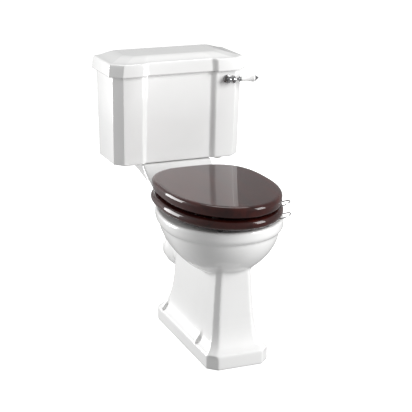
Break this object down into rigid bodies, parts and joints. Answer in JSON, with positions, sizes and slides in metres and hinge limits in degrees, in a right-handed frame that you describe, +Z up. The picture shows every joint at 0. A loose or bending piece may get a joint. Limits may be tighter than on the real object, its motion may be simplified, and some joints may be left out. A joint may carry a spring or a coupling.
{
  "type": "close coupled toilet",
  "caption": "Close coupled toilet: pedestal pan with bolted lever cistern, lift-off cistern lid, hinged wooden seat ring and lid, and working flush fittings.",
  "frame": {"origin": "on the floor, at the centre of the four floor-screw holes in the foot, on the centre line", "axes": "+X to the right seen from the front, +Y to the wall, +Z up"},
  "size_m": [0.4501, 0.715, 0.7803],
  "materials": {
    "china": "white vitreous china, clear gloss glaze",
    "lever_china": "white glazed ceramic",
    "mahogany": "dark mahogany under clear gloss lacquer",
    "chrome": "polished chrome plate",
    "steel": "plain stainless steel",
    "brass": "plain turned brass",
    "rubber": "black moulded rubber",
    "white_plastic": "white moulded plastic",
    "float_plastic": "blue grey moulded plastic"
  },
  "bodies": {
    "base": {"pan": "china", "cistern": "china", "coupling_gasket": "rubber", "coupling_bolts": "brass", "coupling_rubber_washers": "rubber", "coupling_steel_washers": "steel", "coupling_wing_nuts": "brass", "siphon_body": "white_plastic", "siphon_washer": "rubber", "siphon_back_nut": "white_plastic", "fill_valve_shank": "white_plastic", "fill_valve_washer": "rubber", "fill_valve_back_nut": "white_plastic", "fill_valve_head": "white_plastic", "silencer_tube": "white_plastic", "lever_rose": "chrome", "lever_bush": "brass", "lever_bush_nut": "brass", "hinge_posts": "chrome", "hinge_bar": "chrome", "hinge_bar_caps": "chrome", "hinge_pads": "rubber", "seat_bolts": "brass", "seat_bolt_washers": "rubber", "seat_wing_nuts": "white_plastic"},
    "tank_lid": {"cistern_lid": "china"},
    "flush_lever": {"lever_spindle": "chrome", "lever_neck": "chrome", "lever_grip": "lever_china", "lever_finial": "chrome", "lever_crank": "steel", "lever_crank_nut": "brass"},
    "siphon_lift": {"lift_rod": "brass", "lift_plate": "white_plastic", "lift_diaphragm": "rubber", "lift_stirrup": "steel"},
    "float": {"float_cup": "float_plastic", "float_rod": "brass"},
    "valve_arm": {"valve_lever": "white_plastic"},
    "ring": {"seat_ring": "mahogany", "ring_buffers": "rubber", "ring_hinge_straps": "chrome", "ring_strap_screws": "brass", "ring_handle": "chrome", "ring_handle_plate": "chrome", "ring_handle_screws": "brass"},
    "lid": {"seat_lid": "mahogany", "lid_buffers": "rubber", "lid_hinge_straps": "chrome", "lid_strap_screws": "brass", "lid_handle": "chrome", "lid_handle_plate": "chrome", "lid_handle_screws": "brass"}
  },
  "joints": [
    {"name": "ring_hinge", "type": "hinge", "parent": "base", "child": "ring", "pos_m": [0, 0.146, 0.443], "axis": [1, 0, 0], "range_deg": [-90, 0]},
    {"name": "lid_hinge", "type": "hinge", "parent": "ring", "child": "lid", "pos_m": [0, 0.146, 0.443], "axis": [-1, 0, 0], "range_deg": [0, 90]},
    {"name": "flush_lever_turn", "type": "hinge", "parent": "base", "child": "flush_lever", "pos_m": [0.146, 0.196, 0.706], "axis": [0, 1, 0], "range_deg": [0, 24], "stiffness_Nm_per_rad": 0.6, "springref_deg": -22.92},
    {"name": "siphon_lift_slide", "type": "slide", "parent": "base", "child": "siphon_lift", "axis": [0, 0, 1], "range_m": [0, 0.034]},
    {"name": "float_slide", "type": "slide", "parent": "base", "child": "float", "axis": [0, 0, 1], "range_m": [0, 0.012]},
    {"name": "valve_arm_turn", "type": "hinge", "parent": "base", "child": "valve_arm", "pos_m": [0.166, 0.311, 0.656], "axis": [0, 1, 0], "range_deg": [0, 20]},
    {"name": "tank_lid_lift", "type": "slide", "parent": "base", "child": "tank_lid", "axis": [0, 0, 1], "range_m": [0, 0.25]}
  ],
  "couplings": [
    {"joint": "siphon_lift_slide", "follows": "flush_lever_turn", "m_per_rad": 0.08},
    {"joint": "valve_arm_turn", "follows": "float_slide", "rad_per_m": 28.571}
  ]
}
